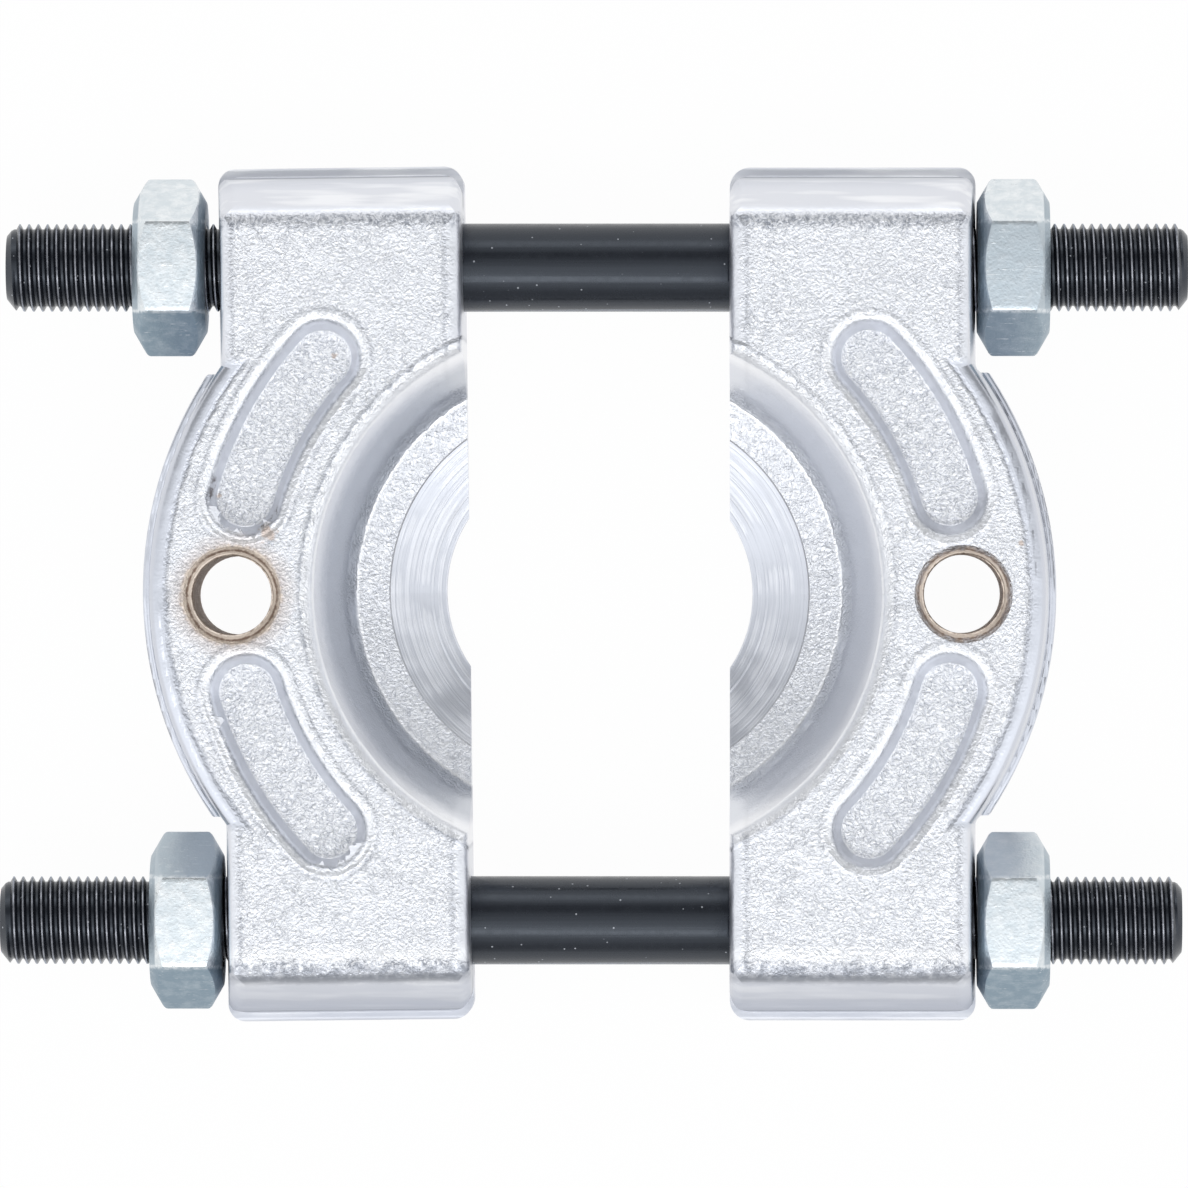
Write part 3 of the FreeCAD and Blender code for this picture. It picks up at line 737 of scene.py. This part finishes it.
def threaded_end(length):
    """A threaded end with its tip at x = 0 and its runout at x = length."""
    bm = spun_thread(0, length)
    trim(bm, 0, -1)
    trim(bm, length, 1)
    slope = (CREST_RADIUS - TIP_RADIUS) / TIP_LENGTH
    for vert in bm.verts:
        spread = Vector((0, vert.co.y, vert.co.z))
        fade = max(0, (vert.co.x - length + RUNOUT_LENGTH) / RUNOUT_LENGTH)
        wanted = spread.length + (SHANK_RADIUS - spread.length) * fade
        wanted = min(wanted, TIP_RADIUS + vert.co.x * slope)
        vert.co = Vector((vert.co.x, 0, 0)) + spread.normalized() * wanted
    return bm


def rim_edges(bm, x):
    """The open edges of the mesh that lie square across the axis at x."""
    return [e for e in bm.edges if e.is_boundary and all(abs(v.co.x - x) < 0.002 * MM for v in e.verts)]


def stud_mesh(name, low, high):
    """A whole stud: two threaded ends, the second turned end for end, and a shank between them."""
    length = high.x - low.x
    bm = threaded_end(THREAD_LENGTH)
    near = bpy.data.meshes.new("near_end")
    bm.to_mesh(near)
    half_turn = Matrix.Translation((length, 0, 0)) @ Matrix.Rotation(math.pi, 4, "Y")
    near.transform(half_turn)
    bm.from_mesh(near)
    bpy.data.meshes.remove(near)
    inner = rim_edges(bm, THREAD_LENGTH) + rim_edges(bm, length - THREAD_LENGTH)
    bmesh.ops.bridge_loops(bm, edges=inner)
    for x in (0, length):
        bmesh.ops.contextual_create(bm, geom=rim_edges(bm, x))
    bmesh.ops.recalc_face_normals(bm, faces=bm.faces)
    bmesh.ops.translate(bm, verts=bm.verts, vec=(low.x, (low.y + high.y) / 2, STUD_Z))
    mesh = bpy.data.meshes.new(name)
    bm.to_mesh(mesh)
    bm.free()
    return mesh

# %% [markdown]
# ## Black oxide
# The blackened studs are almost black, with a dull oily gloss. Use has rubbed the film off the crests of
# the threads, which show as thin grey lines, and dust lies on the shank as small pale specks. The distance
# from the stud's axis tells a crest from a root, so the wear needs no map.


# %% Black oxide
OXIDE_BLACK = "15171d"
WORN_STEEL = "9a9ca3"
DUST = "b9bcc2"


def black_oxide(name, y):
    """Oil-sealed black oxide on steel. To the eye, soft black with grey lines on the thread's crests."""
    material, tree, shader, place = new_material(name)
    from_axis = add(tree, "Mapping", {"Vector": place, "Location": (0, -y, -STUD_Z), "Scale": (0, 1, 1)})
    radius = add(tree, "VectorMath", {0: from_axis}, operation="LENGTH").outputs["Value"]
    patch = add(tree, "TexNoise", {"Vector": place, "Scale": 1 / (1.4 * MM), "Detail": 3, "Roughness": 0.6})
    worn = overlap(tree, soft_line(tree, radius, CREST_RADIUS, -0.1, -0.02, 0.01, 0.03),
                   band(tree, patch, 0.3, 0.6, 0.25, 1))
    specks = add(tree, "TexVoronoi", {"Vector": place, "Scale": 1 / (1.7 * MM), "Randomness": 1})
    dust = band(tree, specks, 0.05, 0.09, 0.8, 0)
    colour = blend(tree, dust, blend(tree, worn, OXIDE_BLACK, WORN_STEEL), DUST)
    metal = overlap(tree, worn, 0.7)
    gloss = band(tree, patch, 0.3, 0.7, 0.2, 0.3)
    shader.inputs["Specular IOR Level"].default_value = 0.7
    shader.inputs["Specular Tint"].default_value = (0.78, 0.87, 1, 1)
    draw = add(tree, "Mapping", {"Vector": place, "Scale": (1 / (30 * MM), 1 / (0.5 * MM), 1 / (0.5 * MM))})
    lines = add(tree, "TexNoise", {"Vector": draw, "Scale": 1, "Detail": 3})
    bump = add(tree, "Bump", {"Strength": 0.5, "Distance": 0.03 * MM, "Height": lines})
    tree.links.new(colour, shader.inputs["Base Color"])
    tree.links.new(metal.outputs[0], shader.inputs["Metallic"])
    tree.links.new(gloss.outputs[0], shader.inputs["Roughness"])
    tree.links.new(bump.outputs[0], shader.inputs["Normal"])
    return material


for level, y in (("upper", STUD_Y), ("lower", -STUD_Y)):
    node = "stud_" + level
    threaded = stud_mesh("threaded_" + node, *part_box(node))
    stud = place_piece(threaded, black_oxide(node + "_oxide", y), node, node)
    print(f"{stud.name}: {len(threaded.polygons)} faces, {THREAD_LENGTH / PITCH:.0f} turns at each end")

# %% [markdown]
# ## Nuts
# The nuts are cold-formed from hexagon bar, tapped, chamfered at 30 degrees on both faces and zinc
# plated. A chamfer is a cone, and where it cuts the flats it leaves a curved edge. To get that curve
# without a cut, a round blank is spun, and each ring of its points is then pushed out to the hexagon and
# back to the cone. A small bevel on the edges gives the soft line that a tumbled, plated edge shows.

# %% Nut sizes
NUT_ACROSS_FLATS = 21.0 * MM
NUT_FACE_RADIUS = 17.7 / 2 * MM
NUT_CHAMFER = math.radians(30)
NUT_BORE_RADIUS = 5.98 * MM
NUT_MOUTH = 0.6 * MM
NUT_SEGMENTS = 144
NUT_EDGE_BEVEL = 0.42 * MM


# %% Nut
def hexagon_radius(angle):
    """The distance from the axis to the hexagon's outline at an angle, with flats square to Z."""
    from_flat = (angle + math.pi / 6) % (math.pi / 3) - math.pi / 6
    return NUT_ACROSS_FLATS / 2 / math.cos(from_flat)


def nut_mesh(name, low, high):
    """A nut about an axis along X, from a spun blank pushed out to a chamfered hexagon."""
    height = high.x - low.x
    bm = bmesh.new()
    blank = [(0, NUT_BORE_RADIUS + NUT_MOUTH), (0, NUT_FACE_RADIUS), (1, 2 * NUT_FACE_RADIUS)]
    outline = [(x, r) for x, r in blank] + [(height - x, r) for x, r in reversed(blank)]
    outline += [(height - NUT_MOUTH, NUT_BORE_RADIUS), (NUT_MOUTH, NUT_BORE_RADIUS)]
    points = [bm.verts.new((x, 0, r)) for x, r in outline]
    edges = [bm.edges.new((a, b)) for a, b in zip(points, points[1:] + points[:1])]
    bmesh.ops.spin(bm, geom=points + edges, axis=(1, 0, 0), cent=(0, 0, 0), angle=TURN,
                   steps=NUT_SEGMENTS, use_merge=True)
    for vert in bm.verts:
        spread = Vector((0, vert.co.y, vert.co.z))
        if spread.length > 1.5 * NUT_FACE_RADIUS:
            edge = hexagon_radius(math.atan2(spread.y, spread.z))
            fall = (edge - NUT_FACE_RADIUS) * math.tan(NUT_CHAMFER)
            x = fall if vert.co.x > height / 2 else height - fall
            vert.co = Vector((x, 0, 0)) + spread.normalized() * edge
    bmesh.ops.recalc_face_normals(bm, faces=bm.faces)
    corners = [e for e in bm.edges if len(e.link_faces) == 2 and e.calc_face_angle() > math.radians(20)
               and min(Vector((0, v.co.y, v.co.z)).length for v in e.verts) > NUT_FACE_RADIUS * 1.05]
    bmesh.ops.bevel(bm, geom=corners, offset=NUT_EDGE_BEVEL, offset_type="OFFSET", segments=2,
                    profile=0.5, affect="EDGES", material=-1, clamp_overlap=True)
    bmesh.ops.translate(bm, verts=bm.verts, vec=(low.x, (low.y + high.y) / 2, STUD_Z))
    mesh = bpy.data.meshes.new(name)
    bm.to_mesh(mesh)
    bm.free()
    return mesh


# %% [markdown]
# ## Zinc plating
# Bright zinc with a thin clear passivate is a cold, bluish silver. The faces are pale, and a dull blue-grey
# film of painted shade lies on the chamfers and on some faces, most of all on the faces towards the foot of
# the picture.
# Fine scratches run every way, and the edges are rubbed bright, partly wear and partly a painted highlight.

# %% Zinc plating
ZINC_PALE = "eef2f4"
ZINC_CLOUD = "c6d2d9"
ZINC_FILM_SHADE = "8c9eab"
CHAMFER_DEPTH = 0.95 * MM

# How dull and shaded each nut's top, front and back faces are, from 0 for pale to 1 for the blue-grey film
# of painted shade
NUT_FILM_SHADE = {
    "nut_left_upper": (0.05, 1.0, 0.0),
    "nut_left_lower": (0.0, 1.0, 0.6),
    "nut_right_upper": (0.5, 0.9, 0.0),
    "nut_right_lower": (0.1, 1.0, 0.3),
}


def zinc_plating(name, node, y):
    """Bright zinc on steel. To the eye, a cold pale silver, with blue-grey painted shade on the duller
    faces.
    """
    material, tree, shader, place = new_material(name)
    # Painted shade: a dull blue-grey film, set for each nut's top, front and back faces
    film_shade_top, film_shade_front, film_shade_back = NUT_FILM_SHADE[node]
    low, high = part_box(node)
    parts = add(tree, "SeparateXYZ", {0: place})
    side = add(tree, "Math", {0: parts.outputs["Y"], 1: y}, operation="SUBTRACT")
    cloud = add(tree, "TexNoise", {"Vector": place, "Scale": 1 / (1.8 * MM), "Detail": 4, "Roughness": 0.65})
    edge_y = NUT_ACROSS_FLATS / 2 * math.tan(math.pi / 6)
    drift = add(tree, "Math", {0: cloud, 1: 0.6 * MM, 2: side}, operation="MULTIPLY_ADD")
    drift = add(tree, "Math", {0: drift, 1: 0.3 * MM}, operation="SUBTRACT")
    front = band(tree, drift, -edge_y - 0.1 * MM, -edge_y + 0.1 * MM, film_shade_front, film_shade_top)
    back = band(tree, drift, edge_y - 0.1 * MM, edge_y + 0.1 * MM, 0, 1)
    film_and_shade = add(tree, "Mix", {0: back, 2: front, 3: film_shade_back})

    # The edges between flats, rubbed bright with a painted highlight, and the chamfers, told by the distance
    # from those edges and from the two ends
    from_edge = add(tree, "Math", {0: side}, operation="ABSOLUTE")
    from_edge = add(tree, "Math", {0: from_edge, 1: edge_y}, operation="SUBTRACT")
    from_edge = add(tree, "Math", {0: from_edge}, operation="ABSOLUTE")
    rubbed_and_highlit = band(tree, from_edge, 0.12 * MM, NUT_EDGE_BEVEL, 1, 0)
    scuff = add(tree, "TexNoise", {"Vector": place, "Scale": 1 / (0.8 * MM), "Detail": 3, "Roughness": 0.6})
    rubbed_and_highlit = overlap(tree, rubbed_and_highlit, band(tree, scuff, 0.35, 0.6))
    ends = add(tree, "Math", {0: parts.outputs["X"], 1: (low.x + high.x) / 2}, operation="SUBTRACT")
    ends = add(tree, "Math", {0: ends}, operation="ABSOLUTE")
    chamfer_start = (high.x - low.x) / 2 - CHAMFER_DEPTH
    chamfer = band(tree, ends, chamfer_start, chamfer_start + 0.2 * MM)
    # The chamfers get the painted shade too
    film_and_shade = either(tree, film_and_shade, overlap(tree, chamfer, 0.75))

    # Scratches: thin lines that cross at several angles, broken up by a mask
    marks = 0
    for turn in (0.3, 1.4, 2.5):
        lean = add(tree, "Mapping", {"Vector": place, "Rotation": (turn, turn / 2, turn),
                                     "Scale": (1 / (4 * MM), 1 / (0.25 * MM), 1 / (0.25 * MM))})
        line = add(tree, "TexNoise", {"Vector": lean, "Scale": 1, "Detail": 2})
        line = band(tree, line, 0.66, 0.72)
        marks = either(tree, marks, line) if marks else line
    marks = overlap(tree, marks, band(tree, scuff, 0.45, 0.6))
    mottle = band(tree, cloud, 0.40, 0.66, 1, 0)
    pale = blend(tree, overlap(tree, mottle, 0.55), ZINC_PALE, ZINC_CLOUD)
    patchy = overlap(tree, film_and_shade, band(tree, cloud, 0.3, 0.55, 0.75, 1))
    colour = blend(tree, patchy, pale, ZINC_FILM_SHADE)
    # The rubbed edges, partly wear and partly a painted highlight, and the scratches are pale
    colour = blend(tree, overlap(tree, either(tree, rubbed_and_highlit, marks), 0.75), colour, ZINC_PALE)
    fine = add(tree, "TexNoise", {"Vector": place, "Scale": 1 / (0.4 * MM), "Detail": 3})
    relief = add(tree, "Math", {0: marks, 1: 0.5, 2: fine}, operation="MULTIPLY_ADD")
    relief = add(tree, "Math", {0: cloud, 1: 2.0, 2: relief}, operation="MULTIPLY_ADD")
    bump = add(tree, "Bump", {"Strength": 0.8, "Distance": 0.05 * MM, "Height": relief})
    gloss = band(tree, film_and_shade, 0, 1, 0.26, 0.42)
    shader.inputs["Metallic"].default_value = 1
    tree.links.new(colour, shader.inputs["Base Color"])
    tree.links.new(gloss.outputs[0], shader.inputs["Roughness"])
    tree.links.new(bump.outputs[0], shader.inputs["Normal"])
    return material


for side in ("left", "right"):
    for level, y in (("upper", STUD_Y), ("lower", -STUD_Y)):
        node = f"nut_{side}_{level}"
        blank = nut_mesh("chamfered_" + node, *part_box(node))
        nut = place_piece(blank, zinc_plating(node + "_zinc", node, y), node, node)
        print(f"{nut.name}: {len(blank.polygons)} faces")

# %% [markdown]
# ## Smooth shading
# Flat faces stay crisp and round ones turn smooth when an edge is sharp only above a set angle.

# %% Smooth shading
round_pieces = [piece for piece in bpy.data.objects if piece.name.startswith(("threaded_", "chamfered_"))]
for piece in round_pieces:
    piece.data.shade_smooth()
    piece.data.set_sharp_from_angle(angle=math.radians(24))
print(f"{len(round_pieces)} studs and nuts shaded smooth")

# %% [markdown]
# ## Floor
# The photograph has a plain white ground. The floor is a large pale sheet just under the flat backs.


# %% Floor
def white_ground(name, shade):
    """Plain white paper that the lens, and bright metal, see as the white ground of the photograph."""
    material, tree, shader, place = new_material(name)
    shader.inputs["Base Color"].default_value = linear("f4f4f5")
    shader.inputs["Roughness"].default_value = 0.9
    path = add(tree, "LightPath")
    seen = add(tree, "Math", {0: path.outputs["Is Camera Ray"], 1: path.outputs["Is Glossy Ray"]},
               operation="MAXIMUM")
    seen = add(tree, "Math", {0: seen, 1: path.outputs["Is Transmission Ray"]}, operation="MAXIMUM")
    share = add(tree, "Math", {0: seen, 1: shade}, operation="MULTIPLY")
    glow = add(tree, "Emission", {"Color": (1, 1, 1, 1), "Strength": 1})
    mix = add(tree, "MixShader", {0: share, 1: shader, 2: glow})
    output = [n for n in tree.nodes if n.bl_idname == "ShaderNodeOutputMaterial"][0]
    tree.links.new(mix.outputs[0], output.inputs["Surface"])
    return material


FLOOR_HALF_WIDTH = 3.0
FLOOR_DROP = 0.2 * MM
bm = bmesh.new()
bmesh.ops.create_grid(bm, x_segments=1, y_segments=1, size=FLOOR_HALF_WIDTH)
bmesh.ops.translate(bm, verts=bm.verts, vec=(0, 0, -FLOOR_DROP))
floor_mesh = bpy.data.meshes.new("floor")
bm.to_mesh(floor_mesh)
bm.free()
floor_mesh.materials.append(white_ground("floor_paper", 0.97))
floor = bpy.data.objects.new("floor", floor_mesh)
bpy.context.scene.collection.objects.link(floor)
print(f"Floor {2 * FLOOR_HALF_WIDTH:.0f} m square, {FLOOR_DROP / MM:.1f} mm under the backs")

# %% [markdown]
# ## Light
# Metal shows what stands round it, so the light is a room as much as it is lamps. The room is told by one
# number, how far a direction leans from the front wall to the back wall. Level faces look up at a pale
# ceiling. Faces that lean a little to the back see a dark gap there, which draws the grey lines along the
# studs, and faces that lean to the front see the bright front half. Near the floor the walls are white.

# %% Light
ROOM = [(-1.0, 0.4), (-0.95, 0.45), (-0.75, 1.0), (-0.5, 1.4), (-0.2, 1.3), (0.0, 1.1), (0.25, 0.75),
        (0.45, 0.25), (0.6, 0.25), (0.75, 0.75), (0.87, 1.0), (1.0, 1.0)]

world = bpy.data.worlds.new("studio")
bpy.context.scene.world = world
world.use_nodes = True
studio = world.node_tree
studio.nodes.clear()
direction = add(studio, "SeparateXYZ", {0: add(studio, "TexCoord").outputs["Generated"]})
lean = add(studio, "MapRange", {0: direction.outputs["Y"], 1: -1, 2: 1})
room = add(studio, "ValToRGB", {0: lean})
ramp = room.color_ramp
ramp.interpolation = "EASE"
ramp.elements.remove(ramp.elements[1])
for i, (place, light) in enumerate(ROOM):
    stop = ramp.elements[0] if i == 0 else ramp.elements.new((place + 1) / 2)
    stop.position = (place + 1) / 2
    stop.color = (light * 0.97, light * 0.985, light, 1)
low = add(studio, "MapRange", {0: direction.outputs["Z"], 1: 0.03, 2: 0.15, 3: 1, 4: 0})
seen = add(studio, "Mix", {0: low, 6: room.outputs["Color"], 7: (1, 1, 1, 1)}, data_type="RGBA")
add(studio, "OutputWorld", {"Surface": add(studio, "Background", {"Color": seen.outputs[2], "Strength": 1})})


def soft_box(name, place, aim, width, depth, radiance):
    """A rectangular area lamp whose face glows with a given radiance, where 1 is white."""
    lamp = bpy.data.lights.new(name, "AREA")
    lamp.shape = "RECTANGLE"
    lamp.size = width
    lamp.size_y = depth
    lamp.energy = radiance * math.pi * width * depth
    box = bpy.data.objects.new(name, lamp)
    box.location = place
    box.rotation_euler = (Vector(aim) - Vector(place)).to_track_quat("-Z", "Y").to_euler()
    bpy.context.scene.collection.objects.link(box)
    return box


soft_box("back_soft_box", (0, 2.0, 1.0), (0, 0, 0), 2.0, 0.6, 0.8)
soft_box("front_soft_box", (0, -1.0, 1.75), (0, 0, 0), 1.8, 0.5, 1.7)

bpy.context.scene.view_settings.view_transform = "Standard"
print(f"Room of {len(ROOM)} shades and 2 soft boxes")
